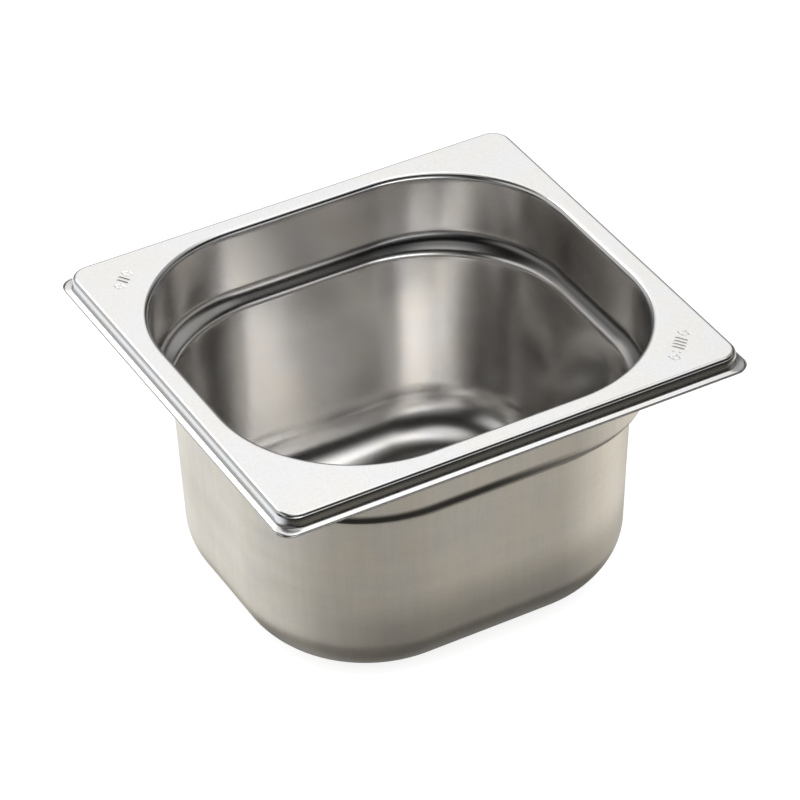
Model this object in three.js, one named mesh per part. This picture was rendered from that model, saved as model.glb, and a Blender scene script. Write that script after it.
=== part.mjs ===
// A one-sixth gastronorm food pan, 176 x 162 mm over the rim and 102 mm deep, deep-drawn from one
// sheet of stainless steel: a turned-down rim with a sloping lip, a straight neck, a stacking shoulder,
// drafted walls with wide corners and a rounded base.
//
// Millimetres. The origin is the middle of the underside, X runs along the long side of the rim,
// Y along the short side, and Z up.
import * as THREE from "three";

// Driving sizes
const RIM_X = 176; // over the lip, standard one-sixth size
const RIM_Y = 162;
const HEIGHT = 102; // underside of the base to the top of the rim
const SHEET = 0.7; // thickness of the steel

// Rim
const LIP_DROP = 5.4; // from the top of the rim down to the lip's upper outer edge
const LIP_TILT = 18; // degrees by which the lip slopes down towards its edge
const LIP_BEND = 0.7; // mid-sheet radius between the lip and the skirt
const LIP_CORNER = 5.5; // plan radius of the lip's corners
const SKIRT_INSET = 2.3; // rim's outer edge to the foot of the skirt
const SKIRT_DRAFT = 6; // degrees from upright
const SKIRT_CORNER = 7; // plan radius of the skirt's corners at its foot
const RIM_BEND = 1.3; // mid-sheet radius between the skirt and the top of the rim

// Neck and stacking shoulder
const NECK_INSET = 10.8; // rim's outer edge to the inside face of the neck
const MOUTH_BEND = 1.9; // mid-sheet radius where the rim turns down into the neck
const NECK_DRAFT = 1; // degrees from upright
const NECK_DEPTH = 23.2; // top of the rim down to the start of the shoulder
const NECK_CORNER = 50; // plan radius of the neck's corners
const SHOULDER_TURN = 60; // steepest slope of the shoulder, in degrees from the neck
const SHOULDER_TOP_BEND = 5.5; // mid-sheet radii of the shoulder's two bends
const SHOULDER_FOOT_BEND = 3.2;

// Body
const WALL_DRAFT = 2.7; // degrees from upright
const BASE_BEND = 19; // mid-sheet radius between the wall and the base
const BASE_CORNER = 46.5; // plan radius of the corners where the base bend starts

// Facets
const CORNER_STEPS = 12; // per quarter turn of the plan
const SMALL_BEND_STEPS = 3;
const SHOULDER_STEPS = 4;
const BASE_STEPS = 7;

const QUARTER = 90;
const radians = THREE.MathUtils.degToRad;

/*
 * The middle of the sheet in cross-section, followed from the lip's edge to the flat of the base.
 * Heading 0 runs inwards over the rim and -90 runs down the wall. Each station keeps its inset
 * from the rim's outer rectangle, its height, its heading and its corner radius in plan.
 * A corner's radius shrinks as the inset grows, as in a parallel outline, unless an end radius is
 * given.
 */
class Section {
  constructor(inset, z, corner, heading) {
    Object.assign(this, { inset, z, corner, heading, stations: [] });
    this.mark();
  }

  mark() {
    const { inset, z, corner, heading } = this;
    this.stations.push({ inset, z, corner, heading });
  }

  move(inward, up, endCorner, share) {
    this.inset += inward;
    this.z += up;
    this.corner += endCorner === undefined ? -inward : (endCorner - this.corner) * share;
    this.mark();
  }

  line(length, endCorner) {
    const angle = radians(this.heading);
    this.move(length * Math.cos(angle), length * Math.sin(angle), endCorner, 1);
  }

  // A bend of the given radius. A positive turn is towards the wet side of the sheet.
  bend(radius, turn, steps, endCorner) {
    const step = radians(turn / steps);
    const chord = 2 * radius * Math.sin(Math.abs(step) / 2);
    for (let i = 0; i < steps; i++) {
      const along = radians(this.heading) + step / 2;
      this.heading += turn / steps;
      this.move(chord * Math.cos(along), chord * Math.sin(along), endCorner, 1 / (steps - i));
    }
  }
}

function panSection() {
  const half = SHEET / 2;

  // Lip, skirt and the top of the rim
  const tilt = radians(LIP_TILT);
  const edgeInset = half * Math.sin(tilt);
  const edgeLevel = HEIGHT - LIP_DROP - half * Math.cos(tilt);
  const section = new Section(edgeInset, edgeLevel, LIP_CORNER, LIP_TILT);
  const skirtHeading = QUARTER - SKIRT_DRAFT;
  const bendInset = LIP_BEND * (Math.sin(radians(skirtHeading)) - Math.sin(tilt));
  const lipLength = (SKIRT_INSET - bendInset - edgeInset) / Math.cos(tilt);
  section.line(lipLength, SKIRT_CORNER + bendInset);
  section.bend(LIP_BEND, skirtHeading - LIP_TILT, SMALL_BEND_STEPS);
  const rimBendRise = RIM_BEND * (1 - Math.sin(radians(SKIRT_DRAFT)));
  const skirtRise = HEIGHT - half - rimBendRise - section.z;
  section.line(skirtRise / Math.cos(radians(SKIRT_DRAFT)));
  section.bend(RIM_BEND, -skirtHeading, SMALL_BEND_STEPS);
  const mouthInset = NECK_INSET - half - MOUTH_BEND;
  section.line(mouthInset - section.inset, NECK_CORNER + MOUTH_BEND);

  // Neck
  const neckHeading = NECK_DRAFT - QUARTER;
  section.bend(MOUTH_BEND, neckHeading, SMALL_BEND_STEPS);
  section.line((section.z - (HEIGHT - NECK_DEPTH)) / Math.cos(radians(NECK_DRAFT)));

  // Shoulder: in over the body, then down again
  section.bend(SHOULDER_TOP_BEND, SHOULDER_TURN, SHOULDER_STEPS, NECK_CORNER);
  const wallHeading = WALL_DRAFT - QUARTER;
  section.bend(SHOULDER_FOOT_BEND, wallHeading - section.heading, SHOULDER_STEPS, NECK_CORNER);

  // Wall, base bend, and in to the flat of the base
  const bendStart = half + BASE_BEND * (1 - Math.sin(radians(WALL_DRAFT)));
  section.line((section.z - bendStart) / Math.cos(radians(WALL_DRAFT)), BASE_CORNER);
  section.bend(BASE_BEND, -wallHeading, BASE_STEPS);
  return section.stations;
}

// Points of a rounded rectangle, anticlockwise seen from above.
function planOutline(inset, corner, z) {
  const points = [];
  for (let quarter = 0; quarter < 4; quarter++) {
    const signX = quarter === 0 || quarter === 3 ? 1 : -1;
    const signY = quarter < 2 ? 1 : -1;
    const centreX = signX * (RIM_X / 2 - inset - corner);
    const centreY = signY * (RIM_Y / 2 - inset - corner);
    for (let i = 0; i <= CORNER_STEPS; i++) {
      const angle = ((quarter + i / CORNER_STEPS) * Math.PI) / 2;
      points.push(centreX + corner * Math.cos(angle), centreY + corner * Math.sin(angle), z);
    }
  }
  return points;
}

// One face of the sheet: side 1 is the wet side, -1 the outside.
function skinOutlines(stations, side) {
  return stations.map(({ inset, z, corner, heading }) => {
    const across = radians(heading + QUARTER);
    const inward = (side * SHEET * Math.cos(across)) / 2;
    return planOutline(inset + inward, corner - inward, z + (side * SHEET * Math.sin(across)) / 2);
  });
}

// The closed shell: both faces of the sheet, its edge along the lip, and the flat of the base.
function shellGeometry(stations) {
  const perOutline = 4 * (CORNER_STEPS + 1);
  const wet = skinOutlines(stations, 1);
  const outside = skinOutlines(stations, -1).reverse();
  const outlines = [...wet, ...outside];
  const positions = outlines.flat();
  const first = outlines.length * perOutline;
  positions.push(0, 0, SHEET, 0, 0, 0);

  const triangles = [];
  const strip = (from, to) => {
    for (let i = 0; i < perOutline; i++) {
      const next = (i + 1) % perOutline;
      triangles.push(from + i, from + next, to + next, from + i, to + next, to + i);
    }
  };
  const wetEnd = (wet.length - 1) * perOutline;
  const outsideStart = wet.length * perOutline;
  for (let start = 0; start < wetEnd; start += perOutline) strip(start, start + perOutline);
  for (let start = outsideStart; start < first - perOutline; start += perOutline) {
    strip(start, start + perOutline);
  }
  strip(first - perOutline, 0); // the sheet's edge
  for (let i = 0; i < perOutline; i++) {
    const next = (i + 1) % perOutline;
    triangles.push(wetEnd + i, wetEnd + next, first);
    triangles.push(outsideStart + next, outsideStart + i, first + 1);
  }

  const geometry = new THREE.BufferGeometry();
  geometry.setAttribute("position", new THREE.Float32BufferAttribute(positions, 3));
  geometry.setIndex(triangles);
  geometry.computeVertexNormals();
  return geometry;
}

const steel = new THREE.MeshStandardMaterial({
  name: "satin_stainless_steel",
  color: 0xb9b6b0,
  metalness: 1,
  roughness: 0.32,
});

const panShell = new THREE.Mesh(shellGeometry(panSection()), steel);
panShell.name = "pan_shell";

const foodPan = new THREE.Group();
foodPan.name = "deli_food_pan";
foodPan.add(panShell);

export default foodPan;
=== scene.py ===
"""Looks of a one-sixth gastronorm food pan: a deep-drawn shell of satin stainless steel.

The shell follows the CAD model's section, with smooth bends, the slight unevenness of drawn sheet
and the two stamped marks on the rim. Only its shoulder is a little less steep, between the same two
ends. Lengths in the shell's own section are in millimetres and are turned into metres when the mesh
is made.
"""
from collections import namedtuple
import math

import bpy
import numpy as np
from mathutils import Matrix, Vector, noise
from mathutils.geometry import delaunay_2d_cdt


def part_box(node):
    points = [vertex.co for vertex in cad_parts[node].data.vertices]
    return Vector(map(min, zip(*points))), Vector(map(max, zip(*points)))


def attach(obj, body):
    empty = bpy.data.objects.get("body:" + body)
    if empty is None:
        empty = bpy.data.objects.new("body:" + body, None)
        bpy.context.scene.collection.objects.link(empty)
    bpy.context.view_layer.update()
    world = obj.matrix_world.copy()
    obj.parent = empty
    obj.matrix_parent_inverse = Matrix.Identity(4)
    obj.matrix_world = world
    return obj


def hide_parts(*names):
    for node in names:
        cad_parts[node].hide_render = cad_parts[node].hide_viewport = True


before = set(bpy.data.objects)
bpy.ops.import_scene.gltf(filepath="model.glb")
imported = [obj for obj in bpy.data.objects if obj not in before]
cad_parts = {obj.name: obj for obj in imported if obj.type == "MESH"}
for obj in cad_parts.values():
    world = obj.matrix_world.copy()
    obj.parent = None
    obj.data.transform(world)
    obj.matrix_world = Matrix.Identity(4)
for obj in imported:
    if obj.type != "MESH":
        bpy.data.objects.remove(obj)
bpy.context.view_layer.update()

MM = 0.001
QUARTER = 90

# The pan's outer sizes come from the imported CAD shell.
box_low, box_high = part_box("pan_shell")
RIM_X = (box_high.x - box_low.x) / MM
RIM_Y = (box_high.y - box_low.y) / MM
HEIGHT = (box_high.z - box_low.z) / MM

# Section of the pressed sheet. Bend radii are to the middle of the sheet, and corners are radii in plan.
SHEET = 0.7
LIP_TILT = 18  # degrees by which the lip slopes down towards its edge
LIP_DROP = 5.4  # from the top of the rim down to the lip's upper outer edge
LIP_BEND = 0.7  # between the lip and the skirt
LIP_CORNER = 5.5
SKIRT_INSET = 2.3  # from the rim's outer edge to the foot of the skirt
SKIRT_DRAFT = 6  # degrees from upright
SKIRT_CORNER = 7
RIM_BEND = 1.3  # between the skirt and the flat flange
NECK_INSET = 10.8  # from the rim's outer edge to the inside face of the neck
MOUTH_BEND = 1.9  # between the flange and the neck
NECK_DRAFT = 1  # degrees from upright
NECK_DEPTH = 23.2  # from the top of the rim down to the shoulder
NECK_CORNER = 50
SHOULDER_TURN = 50  # degrees by which the shoulder leans in from the neck
SHOULDER_TOP_BEND = 5.2
SHOULDER_SLOPE = 1.8  # length of the straight between the shoulder's two bends
SHOULDER_FOOT_BEND = 3.1
WALL_DRAFT = 2.7  # degrees from upright
BASE_BEND = 19  # between the wall and the base
BASE_CORNER = 46.5
BASE_REACH = 0.9  # rings cover this share of the way from the base bend to the corners' centres

# Unevenness that drawing leaves in the sheet. The rim and the flat of the base stay true.
BULGE = 0.12  # height of a bulge
BULGE_SPAN = 32  # from one bulge to the next
BULGE_RISE = 0.8  # below 1, bulges are longer up the wall than across it
BULGE_INSETS = (NECK_INSET - 1, NECK_INSET + 0.5)  # bulges fade in between these insets
BULGE_HEIGHTS = (1, 12)  # and between these heights
FINE_BULGE = 0.4  # a second layer of bulges has this share of the height
FINE_BULGE_SCALE = 2.3  # and is this many times finer
FINE_BULGE_PLACE = Vector((7, 3, 5))  # shifted, so that the two layers are unlike each other

# Stamped marks on the rim's corners
STAMP_DEPTH = 0.2
STROKE = 0.26  # half width of a stroke
STROKE_FLOOR = 0.2  # a stroke is flat at full depth out to this share of its half width
STROKE_EDGE = 1.5  # and has risen to the rim's level at this share
DIAMOND_WIDTH = 0.7  # of a diamond's height
BAR_SLANT = 0.2  # sideways lean of a bar, as a share of its height

# Fineness of the mesh
CORNER_STEPS = 40
SIDE_STEPS = 18
STEPS = dict(lip=3, lip_bend=8, skirt=3, rim_bend=10, mouth_bend=10, neck=16, shoulder_top=12,
             shoulder_slope=2, shoulder_foot=10, wall=30, base_bend=24, base=14)
SUPPORT = 0.25  # width of the narrow strips that keep the flange flat beside its bends
STAMP_GRID = 0.16
MERGE = 1e-6  # plan points nearer than this are one point
TINY = 1e-9  # keeps a dot, which is a stroke of no length, from dividing by zero


# ---------------------------------------------------------------- section of the sheet

Station = namedtuple("Station", "inset z heading corner region")


class Section:
    """The middle of the sheet in cross-section, followed from the lip's edge to the base.

    Heading 0 runs inwards over the rim and -90 runs down the wall. A station's inset is measured
    from the rim's outer rectangle, and its corner is the corner radius in plan.
    """

    def __init__(self, inset, z, corner, heading, region):
        self.inset, self.z, self.corner, self.heading, self.region = inset, z, corner, heading, region
        self.stations = []
        self.mark()

    def mark(self):
        self.stations.append(Station(self.inset, self.z, self.heading, self.corner, self.region))

    def move(self, inward, up, end_corner, share):
        self.inset += inward
        self.z += up
        if end_corner is None:
            self.corner -= inward
        else:
            self.corner += (end_corner - self.corner) * share
        self.mark()

    def line(self, length, steps=1, end_corner=None):
        """A straight run. Corners keep their centres, unless they grow evenly into end_corner."""
        angle = math.radians(self.heading)
        step = length / steps
        for i in range(steps):
            self.move(step * math.cos(angle), step * math.sin(angle), end_corner, 1 / (steps - i))

    def bend(self, radius, turn, steps, end_corner=None):
        """A bend of the given radius. A positive turn is towards the wet side of the sheet."""
        step = math.radians(turn / steps)
        chord = 2 * radius * math.sin(abs(step) / 2)
        for i in range(steps):
            along = math.radians(self.heading) + step / 2
            self.heading += turn / steps
            self.move(chord * math.cos(along), chord * math.sin(along), end_corner, 1 / (steps - i))


def pan_section():
    """Stations all along the sheet. A region names the run of sheet that ends at its stations."""
    half = SHEET / 2
    rim_top = HEIGHT - half
    tilt = math.radians(LIP_TILT)
    edge_level = HEIGHT - LIP_DROP - half * math.cos(tilt)
    section = Section(half * math.sin(tilt), edge_level, LIP_CORNER, LIP_TILT, "lip")

    # Lip, skirt and the flat flange
    skirt_heading = QUARTER - SKIRT_DRAFT
    bend_inset = LIP_BEND * (math.sin(math.radians(skirt_heading)) - math.sin(tilt))
    lip_length = (SKIRT_INSET - bend_inset - section.inset) / math.cos(tilt)
    section.line(lip_length, STEPS["lip"], end_corner=SKIRT_CORNER + bend_inset)
    section.bend(LIP_BEND, skirt_heading - LIP_TILT, STEPS["lip_bend"])
    section.region = "skirt"
    rim_bend_rise = RIM_BEND * (1 - math.sin(math.radians(SKIRT_DRAFT)))
    rise = rim_top - section.z - rim_bend_rise
    section.line(rise / math.cos(math.radians(SKIRT_DRAFT)), STEPS["skirt"])
    section.bend(RIM_BEND, -skirt_heading, STEPS["rim_bend"])
    section.line(SUPPORT)
    section.region = "flange"
    mouth_inset = NECK_INSET - half - MOUTH_BEND
    mouth_corner = NECK_CORNER + MOUTH_BEND
    section.line(mouth_inset - SUPPORT - section.inset, end_corner=mouth_corner + SUPPORT)
    section.region = "mouth"
    section.line(SUPPORT)
    section.bend(MOUTH_BEND, NECK_DRAFT - QUARTER, STEPS["mouth_bend"])

    # Neck and stacking shoulder
    section.region = "neck"
    fall = section.z - (HEIGHT - NECK_DEPTH)
    section.line(fall / math.cos(math.radians(NECK_DRAFT)), STEPS["neck"])
    section.region = "shoulder"
    section.bend(SHOULDER_TOP_BEND, SHOULDER_TURN, STEPS["shoulder_top"], end_corner=NECK_CORNER)
    section.line(SHOULDER_SLOPE, STEPS["shoulder_slope"], end_corner=NECK_CORNER)
    wall_heading = WALL_DRAFT - QUARTER
    turn_back = wall_heading - section.heading
    section.bend(SHOULDER_FOOT_BEND, turn_back, STEPS["shoulder_foot"], end_corner=NECK_CORNER)

    # Wall, base bend and base
    section.region = "wall"
    bend_start = half + BASE_BEND * (1 - math.sin(math.radians(WALL_DRAFT)))
    drop = (section.z - bend_start) / math.cos(math.radians(WALL_DRAFT))
    section.line(drop, STEPS["wall"], end_corner=BASE_CORNER)
    section.region = "base"
    section.bend(BASE_BEND, -wall_heading, STEPS["base_bend"])
    section.line(section.corner * BASE_REACH, STEPS["base"])
    return section.stations


# ---------------------------------------------------------------- faces of the sheet

def plan_outline(inset, corner):
    """Points of a rounded rectangle and their outward directions in plan.

    They run anticlockwise from the +X side's end at the +Y corner. Every outline has the same
    number of points, so that rings join point to point.
    """
    points, outward = [], []
    centres = [np.array([sign_x * (RIM_X / 2 - inset - corner), sign_y * (RIM_Y / 2 - inset - corner)])
               for sign_x, sign_y in ((1, 1), (-1, 1), (-1, -1), (1, -1))]
    for quarter, centre in enumerate(centres):
        for i in range(CORNER_STEPS + 1):
            angle = (quarter + i / CORNER_STEPS) * math.pi / 2
            outward.append(np.array([math.cos(angle), math.sin(angle)]))
            points.append(centre + corner * outward[-1])
        start = points[-1]
        end = centres[(quarter + 1) % 4] + corner * outward[-1]
        for i in range(1, SIDE_STEPS):
            points.append(start + (end - start) * i / SIDE_STEPS)
            outward.append(outward[-1])
    return np.array(points), np.array(outward)


def smoothstep(value, low_edge, high_edge):
    t = np.clip((value - low_edge) / (high_edge - low_edge), 0, 1)
    return t * t * (3 - 2 * t)


def bulge(x, y, z, inset):
    """How far the drawn sheet bulges towards its wet side."""
    share = smoothstep(inset, *BULGE_INSETS) * smoothstep(z, *BULGE_HEIGHTS)
    if share == 0:
        return 0
    spot = Vector((x, y, z * BULGE_RISE)) / BULGE_SPAN
    fine = noise.noise(spot * FINE_BULGE_SCALE + FINE_BULGE_PLACE)
    return BULGE * share * (noise.noise(spot) + FINE_BULGE * fine)


def skin(stations, side):
    """Rings of 3-D points for one face of the sheet: side 1 is the wet side, -1 the outside."""
    rings = []
    for station in stations:
        across = math.radians(station.heading + QUARTER)
        outline, outward = plan_outline(station.inset, station.corner)
        shift = np.array([side * SHEET / 2 + bulge(x, y, station.z, station.inset) for x, y in outline])
        flat = outline - outward * (shift * math.cos(across))[:, None]
        rings.append(np.column_stack([flat, station.z + shift * math.sin(across)]))
    return np.array(rings)


# ---------------------------------------------------------------- stamped marks

def segment_distance(u, v, start, end):
    """Distance of the points (u, v) from a straight stroke."""
    along = np.array(end) - np.array(start)
    share = ((u - start[0]) * along[0] + (v - start[1]) * along[1]) / max(along @ along, TINY)
    share = np.clip(share, 0, 1)
    return np.hypot(u - start[0] - share * along[0], v - start[1] - share * along[1])


def dot(u, v):
    return [((u, v), (u, v))]


def diamond(u, size):
    width = size * DIAMOND_WIDTH
    points = [(u - width, 0), (u, size), (u + width, 0), (u, -size)]
    return list(zip(points, points[1:] + points[:1]))


def slanted_bars(first, count, pitch, height):
    lean = height * BAR_SLANT
    middles = [first + i * pitch for i in range(count)]
    return [((middle - lean, -height), (middle + lean, height)) for middle in middles]


# Each mark: its middle on the rim, its length and height, and its strokes about that middle.
# The marks are ornaments in the places where the real pan has lettering.
STAMPS = [
    dict(middle=(69.7, -64.3), length=19.5, height=6,
         strokes=(diamond(-7.3, 1.9) + slanted_bars(-3.8, 4, 1.7, 2) + dot(3.6, 1.1) + dot(3.6, -1.1)
                  + diamond(6.6, 1.9))),
    dict(middle=(-71, 64), length=12, height=6,
         strokes=diamond(-3.9, 1.7) + slanted_bars(-0.9, 2, 1.8, 2) + diamond(3.9, 1.7)),
]
STAMP_RUN = np.array([-1, -1]) / math.sqrt(2)
STAMP_RISE = np.array([1, -1]) / math.sqrt(2)


def stamp_grid(stamp):
    """Plan points in even rows over one mark."""
    columns = np.arange(-stamp["length"] / 2, stamp["length"] / 2, STAMP_GRID)
    rows = np.arange(-stamp["height"] / 2, stamp["height"] / 2, STAMP_GRID)
    return [np.array(stamp["middle"]) + u * STAMP_RUN + v * STAMP_RISE for u in columns for v in rows]


def stamp_sink(points):
    """How far the marks sink the flange at each plan point."""
    sink = np.zeros(len(points))
    for stamp in STAMPS:
        local = points - np.array(stamp["middle"])
        u, v = local @ STAMP_RUN, local @ STAMP_RISE
        distance = np.min([segment_distance(u, v, *stroke) for stroke in stamp["strokes"]], axis=0)
        depth = STAMP_DEPTH * (1 - smoothstep(distance, STROKE * STROKE_FLOOR, STROKE * STROKE_EDGE))
        sink = np.maximum(sink, depth)
    return sink


# ---------------------------------------------------------------- finishes

# Noises in the steel. Their features are 1 / stretch metres across along X, Y and Z, so both kinds
# of line run down the walls, and smudges run round them.
NOISES = {
    "fine_lines": dict(stretch=(1500, 1500, 60), detail=2),
    "broad_lines": dict(stretch=(520, 520, 22), detail=2, offset=(3, 1, 2)),
    "patches": dict(stretch=(70, 70, 62), detail=3, offset=(8, 5, 1)),
    "smudges": dict(stretch=(24, 24, 120), detail=2, offset=(2, 6, 4)),
    "grain": dict(stretch=(1300, 1300, 1300), detail=1),
}

# How strongly each noise swings the steel's brightness, roughness and relief
TONE_SWING = dict(fine_lines=0.22, broad_lines=0.3, patches=0.4, smudges=0.45, grain=0.1)
ROUGHNESS_SWING = dict(fine_lines=0.15, smudges=0.12, patches=0.1)
RELIEF_SWING = dict(fine_lines=1, grain=0.25)
RELIEF = 0.004  # depth of a full swing of the relief

# The steel's tint goes from cool to warm between two levels of its patches.
COOL = (1, 1, 1.01)
WARM = (1, 0.985, 0.955)
TINT_EDGES = (0.35, 0.65)

# Bands of painted shade round the walls: the steel's colour is darkened there as if by shade. Each fades
# in between the two heights of rise and out between those of fall, and its strength changes from left to
# right between two places along X.
# Painted shade: the outside walls darken towards their foot, standing in for the shaded floor that they
# reflect.
PAINTED_FOOT_SHADE = dict(rise=(-2, -1), fall=(20, 42), places=(-72, -35), left=0, right=0.42)
# Painted shade: a dark line under the shoulder, where the pan shades itself, strongest at the left.
PAINTED_CREASE_SHADE = dict(rise=(72, 77), fall=(78.5, 80.5), places=(-10, 45), left=0.9, right=0)
# Painted shade: a dark band on the ledge inside, growing stronger towards the right.
PAINTED_LEDGE_SHADE = dict(rise=(73, 75), fall=(77, 79), places=(-15, 35), left=0, right=0.75)

# Finishes of the one sheet. Streaks is how plain the drawing lines are, and mottle is the smudging
# of handled metal. Outside, painted shade darkens the foot of the walls and the underside of the
# shoulder, and inside it darkens the ledge that the shoulder makes.
FINISHES = {
    "rim": dict(name="rim_polished_steel", colour=(0.77, 0.77, 0.77), roughness=0.2,
                streaks=0.05, mottle=0.1, painted_shade_bands=[]),
    "inside": dict(name="inside_satin_steel", colour=(0.816, 0.806, 0.795), roughness=0.22,
                   streaks=0.12, mottle=0.2, painted_shade_bands=[PAINTED_LEDGE_SHADE]),
    "outside": dict(name="outside_drawn_steel", colour=(0.69, 0.684, 0.672), roughness=0.37,
                    streaks=0.4, mottle=0.7, painted_shade_bands=[PAINTED_FOOT_SHADE, PAINTED_CREASE_SHADE]),
}
RIM_REGIONS = ("lip", "skirt", "flange", "mouth")


class Graph:
    """Short ways to add and join shader nodes."""

    def __init__(self, tree):
        self.nodes, self.links = tree.nodes, tree.links

    def feed(self, socket, value):
        if isinstance(value, bpy.types.NodeSocket):
            self.links.new(value, socket)
        else:
            socket.default_value = value

    def add(self, kind, inputs, output=0, **settings):
        node = self.nodes.new("ShaderNode" + kind)
        for name, value in settings.items():
            setattr(node, name, value)
        for name, value in inputs.items():
            self.feed(node.inputs[name], value)
        return node.outputs[output]

    def math(self, operation, *values):
        return self.add("Math", dict(enumerate(values)), operation=operation)

    def part(self, vector, axis):
        return self.add("SeparateXYZ", {"Vector": vector}, output=axis)

    def ramp(self, value, low_edge, high_edge, low_value, high_value):
        return self.add("MapRange", {"Value": value, "From Min": low_edge, "From Max": high_edge,
                                     "To Min": low_value, "To Max": high_value},
                        interpolation_type="SMOOTHSTEP")

    def noise(self, place, stretch, detail, offset=(0, 0, 0)):
        """Noise from 0 to 1, stretched as NOISES says."""
        moved = self.add("Mapping", {"Vector": place, "Scale": stretch, "Location": offset})
        return self.add("TexNoise", {"Vector": moved, "Scale": 1, "Detail": detail})

    def swing(self, start, noises, weights, amounts):
        """The start value with each noise's swing about its middle added."""
        total = start
        for name, weight in weights.items():
            centred = self.math("SUBTRACT", noises[name], 0.5)
            total = self.math("MULTIPLY_ADD", centred, weight * amounts[name], total)
        return total

    def painted_shade_band(self, place, rise, fall, places, left, right):
        """How much one band of painted shade darkens the steel's colour at a place."""
        across, level = self.part(place, "X"), self.part(place, "Z")
        height = self.math("MULTIPLY", self.ramp(level, rise[0] * MM, rise[1] * MM, 0, 1),
                           self.ramp(level, fall[0] * MM, fall[1] * MM, 1, 0))
        return self.math("MULTIPLY", height,
                         self.ramp(across, places[0] * MM, places[1] * MM, left, right))


def steel(name, colour, roughness, streaks, mottle, painted_shade_bands):
    """Satin or polished steel."""
    material = bpy.data.materials.new(name)
    material.use_nodes = True
    graph = Graph(material.node_tree)
    shader = graph.nodes["Principled BSDF"]
    place = graph.add("TexCoord", {}, output="Object")
    noises = {layer: graph.noise(place, **settings) for layer, settings in NOISES.items()}
    amounts = dict(fine_lines=streaks, broad_lines=streaks, patches=mottle, smudges=mottle, grain=1)

    tone = graph.swing(1, noises, TONE_SWING, amounts)
    # Painted shade: each band darkens the colour where shade falls.
    for painted_shade_band in painted_shade_bands:
        unshaded_share = graph.math("SUBTRACT", 1, graph.painted_shade_band(place, **painted_shade_band))
        tone = graph.math("MULTIPLY", tone, unshaded_share)
    cool, warm = [(*[value * shift for value, shift in zip(colour, shifts)], 1) for shifts in (COOL, WARM)]
    lean = graph.ramp(noises["patches"], *TINT_EDGES, 0, 1)
    tint = graph.add("MixRGB", {"Fac": lean, "Color1": cool, "Color2": warm})
    graph.feed(shader.inputs["Base Color"],
               graph.add("VectorMath", {0: tint, "Scale": tone}, operation="SCALE"))
    graph.feed(shader.inputs["Metallic"], 1)
    graph.feed(shader.inputs["Roughness"], graph.swing(roughness, noises, ROUGHNESS_SWING, amounts))
    relief = graph.swing(0, noises, RELIEF_SWING, amounts)
    graph.feed(shader.inputs["Normal"],
               graph.add("Bump", {"Height": relief, "Strength": 1, "Distance": RELIEF * MM}))
    return material


# ---------------------------------------------------------------- shell

def flange_faces(outer, inner):
    """Triangles of the flange between two loops of plan points, with fine ones under the marks.
    Returns the plan points, the loops' points first, and the triangles."""
    around = len(outer)
    points = [*outer, *inner]
    for stamp in STAMPS:
        points += stamp_grid(stamp)
    edges = [(start + i, start + (i + 1) % around) for start in (0, around) for i in range(around)]
    found = delaunay_2d_cdt([Vector(point) for point in points], edges, [], 0, MERGE)
    triangles = [face for face in found[2] if min(face) < around or max(face) >= 2 * around]
    return np.array([tuple(point) for point in found[0]]), triangles


def sheet_faces():
    """Vertices, faces and each face's finish: the wet face first, then the outside, then the edge
    along the lip."""
    stations = pan_section()
    skins = [skin(stations, 1), skin(stations, -1)]
    count, around = skins[0].shape[:2]
    following = [(i + 1) % around for i in range(around)]
    vertices, faces, finishes, starts = [], [], [], []
    for rings, middle in zip(skins, (SHEET, 0)):
        starts.append(len(vertices))
        vertices += [*rings.reshape(-1, 3), (0, 0, middle)]

    def add(corners, outside, finish):
        faces.append(tuple(reversed(corners)) if outside else tuple(corners))
        finishes.append("outside" if outside else finish)

    flange = next(i for i, station in enumerate(stations) if station.region == "flange")
    flat, triangles = flange_faces(skins[0][flange - 1][:, :2], skins[0][flange][:, :2])
    sink = stamp_sink(flat)
    for outside, start in enumerate(starts):
        for ring in range(count - 1):
            if ring + 1 == flange:
                continue
            finish = "rim" if stations[ring + 1].region in RIM_REGIONS else "inside"
            row = start + ring * around
            for i, j in enumerate(following):
                add((row + i, row + j, row + around + j, row + around + i), outside, finish)
        last = start + (count - 1) * around
        middle = start + count * around
        for i, j in enumerate(following):
            add((last + i, last + j, middle), outside, "inside")

        # The flange's loops are the rings beside it, and the rest of its points are new.
        loops = 2 * around
        loop_start = start + (flange - 1) * around
        extra_start = len(vertices) - loops
        level = skins[outside][flange][0, 2]
        vertices += [(x, y, level - depth) for (x, y), depth in zip(flat[loops:], sink[loops:])]
        for triangle in triangles:
            add([i + (loop_start if i < loops else extra_start) for i in triangle], outside, "rim")

    wet, outer = starts
    for i, j in enumerate(following):
        add((wet + i, outer + i, outer + j, wet + j), False, "rim")
    return vertices, faces, finishes


def build_shell():
    vertices, faces, finishes = sheet_faces()
    mesh = bpy.data.meshes.new("pan_body")
    mesh.from_pydata([tuple(np.array(point) * MM) for point in vertices], [], faces)
    numbers = {finish: number for number, finish in enumerate(FINISHES)}
    mesh.polygons.foreach_set("material_index", [numbers[finish] for finish in finishes])
    mesh.update()
    mesh.shade_smooth()
    for settings in FINISHES.values():
        mesh.materials.append(steel(**settings))
    piece = bpy.data.objects.new("pan_body", mesh)
    bpy.context.collection.objects.link(piece)
    return piece


# ---------------------------------------------------------------- stage

# The camera's place and angles were solved from the photo's perspective.
CAMERA_PLACE = (-0.52168, -0.95152, 0.88882)
CAMERA_AZIMUTH = -28.71
CAMERA_ELEVATION = 37.21
CAMERA_ROLL = -1.394
CAMERA_LENS = 180.6
CAMERA_SENSOR = 36
CAMERA_NEAR = 0.05

FLOOR_SIZE = 3
FLOOR_GREY = 0.5
FLOOR_GLOW = 0.75  # the floor's own light, which keeps it pale
FLOOR_LIGHT = 1.2  # light that falls on the floor
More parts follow.
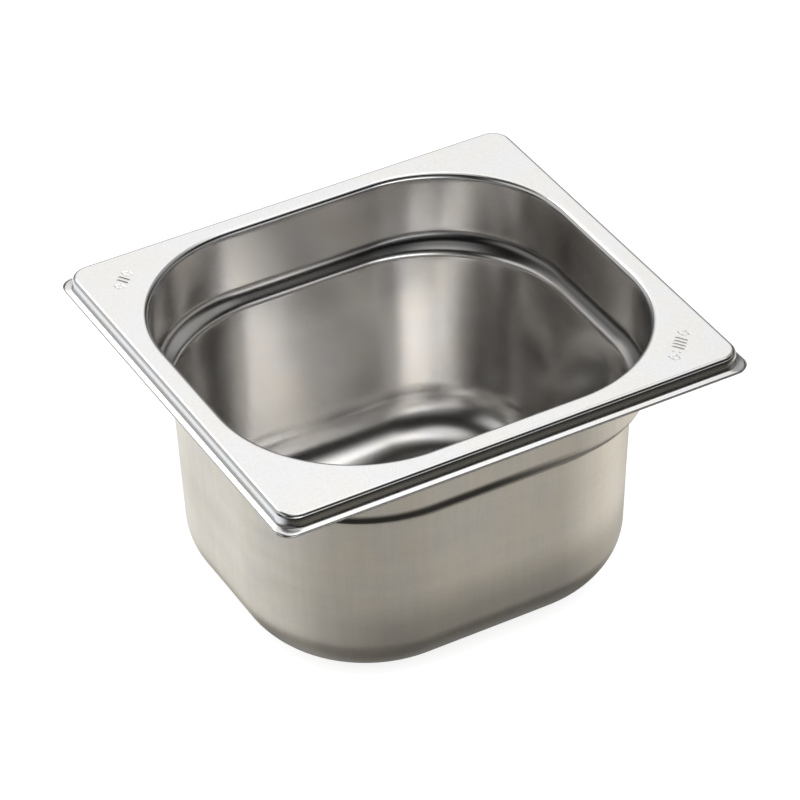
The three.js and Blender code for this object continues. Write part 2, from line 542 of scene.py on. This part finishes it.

# Soft lights round the pan, in degrees. Azimuth is anticlockwise from +X, and the camera looks
# towards 61. A light is at half its strength at reach to each side and at the heights low and high,
# and the last two fade over soft degrees each way. ALL_ROUND reaches all the way round.
# The rows began as a scratch program's fit of small windows of light to the photo's reflections, and
# were then changed by hand. Seven of them keep the azimuth and reach of that fit.
ALL_ROUND = 400
LIGHTS = [
    # Beyond the pan and high, where the rim's flat and its lip at the front right mirror them
    dict(tone="white", azimuth=70, reach=23, low=16, high=72, soft=6, strength=0.86),
    dict(tone="white", azimuth=36, reach=45, low=30, high=69, soft=6, strength=0.35),
    dict(tone="white", azimuth=12, reach=51, low=60, high=80, soft=9, strength=1.35),
    # At the left and high: a strong strip
    dict(tone="white", azimuth=106, reach=15, low=34, high=52, soft=7, strength=3.15),
    # Further left
    dict(tone="white", azimuth=128, reach=25, low=-14, high=32, soft=6, strength=0.58),
    dict(tone="white", azimuth=165, reach=27, low=28, high=52, soft=7, strength=0.7),
    # Overhead
    dict(tone="white", azimuth=0, reach=ALL_ROUND, low=76, high=200, soft=6, strength=0.85),
    # Behind the camera
    dict(tone="white", azimuth=265, reach=23, low=14, high=25, soft=6, strength=2.6),
    dict(tone="white", azimuth=252, reach=27, low=20, high=44, soft=9, strength=0.25),
    # Low at the right and at the front left, so that the rim is not black in views from behind
    dict(tone="white", azimuth=320, reach=40, low=6, high=20, soft=6, strength=0.4),
    dict(tone="white", azimuth=215, reach=30, low=6, high=20, soft=6, strength=0.4),
    # Beyond the pan, near the horizon and below it
    dict(tone="white", azimuth=48, reach=40, low=-14, high=9, soft=6, strength=0.45),
    dict(tone="white", azimuth=53, reach=59, low=-31, high=-10, soft=6, strength=0.7),
    dict(tone="white", azimuth=74, reach=77, low=-75, high=-55, soft=8, strength=0.2),
    # At the left and below the horizon
    dict(tone="cool", azimuth=132, reach=58, low=-36, high=-13, soft=6, strength=0.98),
    # Warm light from below, as off a table
    dict(tone="warm", azimuth=-14, reach=32, low=-39, high=-30, soft=6, strength=0.7),
    dict(tone="warm", azimuth=0, reach=ALL_ROUND, low=-47, high=-34, soft=7, strength=1.0),
    dict(tone="warm", azimuth=0, reach=ALL_ROUND, low=-110, high=-54, soft=13, strength=0.2),
]
TONES = {"white": (1, 1, 1), "cool": (0.91, 0.955, 1), "warm": (1, 0.935, 0.82)}
AMBIENT = 0.012  # warm light from everywhere else


def add_camera():
    azimuth, elevation = math.radians(CAMERA_AZIMUTH), math.radians(CAMERA_ELEVATION)
    roll = math.radians(CAMERA_ROLL)
    view = Vector((-math.sin(azimuth) * math.cos(elevation),
                   math.cos(azimuth) * math.cos(elevation),
                   -math.sin(elevation)))
    level = view.cross(Vector((0, 0, 1))).normalized()
    upright = level.cross(view)
    right = level * math.cos(roll) + upright * math.sin(roll)
    up = right.cross(view)
    data = bpy.data.cameras.new("camera")
    data.lens = CAMERA_LENS
    data.sensor_width = CAMERA_SENSOR
    data.clip_start = CAMERA_NEAR
    camera = bpy.data.objects.new("camera", data)
    matrix = Matrix((right, up, -view)).transposed().to_4x4()
    matrix.translation = Vector(CAMERA_PLACE)
    camera.matrix_world = matrix
    bpy.context.collection.objects.link(camera)
    bpy.context.scene.camera = camera


def add_floor():
    corners = [(-FLOOR_SIZE, -FLOOR_SIZE, 0), (FLOOR_SIZE, -FLOOR_SIZE, 0),
               (FLOOR_SIZE, FLOOR_SIZE, 0), (-FLOOR_SIZE, FLOOR_SIZE, 0)]
    mesh = bpy.data.meshes.new("floor")
    mesh.from_pydata(corners, [], [(0, 1, 2, 3)])
    floor = bpy.data.objects.new("floor", mesh)
    floor.location.z = box_low.z
    material = bpy.data.materials.new("pale_floor")
    material.use_nodes = True
    inputs = material.node_tree.nodes["Principled BSDF"].inputs
    inputs["Base Color"].default_value = (FLOOR_GREY, FLOOR_GREY, FLOOR_GREY, 1)
    inputs["Roughness"].default_value = 1
    inputs["Specular IOR Level"].default_value = 0
    inputs["Emission Color"].default_value = (1, 1, 1, 1)
    inputs["Emission Strength"].default_value = FLOOR_GLOW
    mesh.materials.append(material)
    floor.visible_glossy = False
    bpy.context.collection.objects.link(floor)


def add_world():
    world = bpy.data.worlds.new("studio")
    bpy.context.scene.world = world
    world.use_nodes = True
    graph = Graph(world.node_tree)
    direction = graph.add("TexCoord", {}, output="Generated")
    azimuth = graph.math("ARCTAN2", graph.part(direction, "Y"), graph.part(direction, "X"))
    elevation = graph.math("ARCSINE", graph.part(direction, "Z"))
    colour = [value * AMBIENT for value in TONES["warm"]]
    for light in LIGHTS:
        centre, reach, low, high, soft = [math.radians(light[key])
                                          for key in ("azimuth", "reach", "low", "high", "soft")]
        off = graph.math("WRAP", graph.math("SUBTRACT", azimuth, centre), math.pi, -math.pi)
        sideways = graph.ramp(graph.math("ABSOLUTE", off), reach / 2, reach * 1.5, 1, 0)
        above = graph.ramp(elevation, low - soft, low + soft, 0, 1)
        below = graph.ramp(elevation, high - soft, high + soft, 1, 0)
        window = graph.math("MULTIPLY", sideways, graph.math("MULTIPLY", above, below))
        glow = [value * light["strength"] for value in TONES[light["tone"]]]
        colour = graph.add("VectorMath", {0: window, 1: glow, 2: colour}, operation="MULTIPLY_ADD")

    # The floor is lit evenly, whatever the pan reflects.
    is_diffuse = graph.add("LightPath", {}, output="Is Diffuse Ray")
    even = (FLOOR_LIGHT, FLOOR_LIGHT, FLOOR_LIGHT, 1)
    graph.feed(graph.nodes["Background"].inputs["Color"],
               graph.add("MixRGB", {"Fac": is_diffuse, "Color1": colour, "Color2": even}))


bpy.context.scene.view_settings.view_transform = "Standard"
add_camera()
add_floor()
add_world()
pan = build_shell()
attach(pan, "root")
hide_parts("pan_shell")
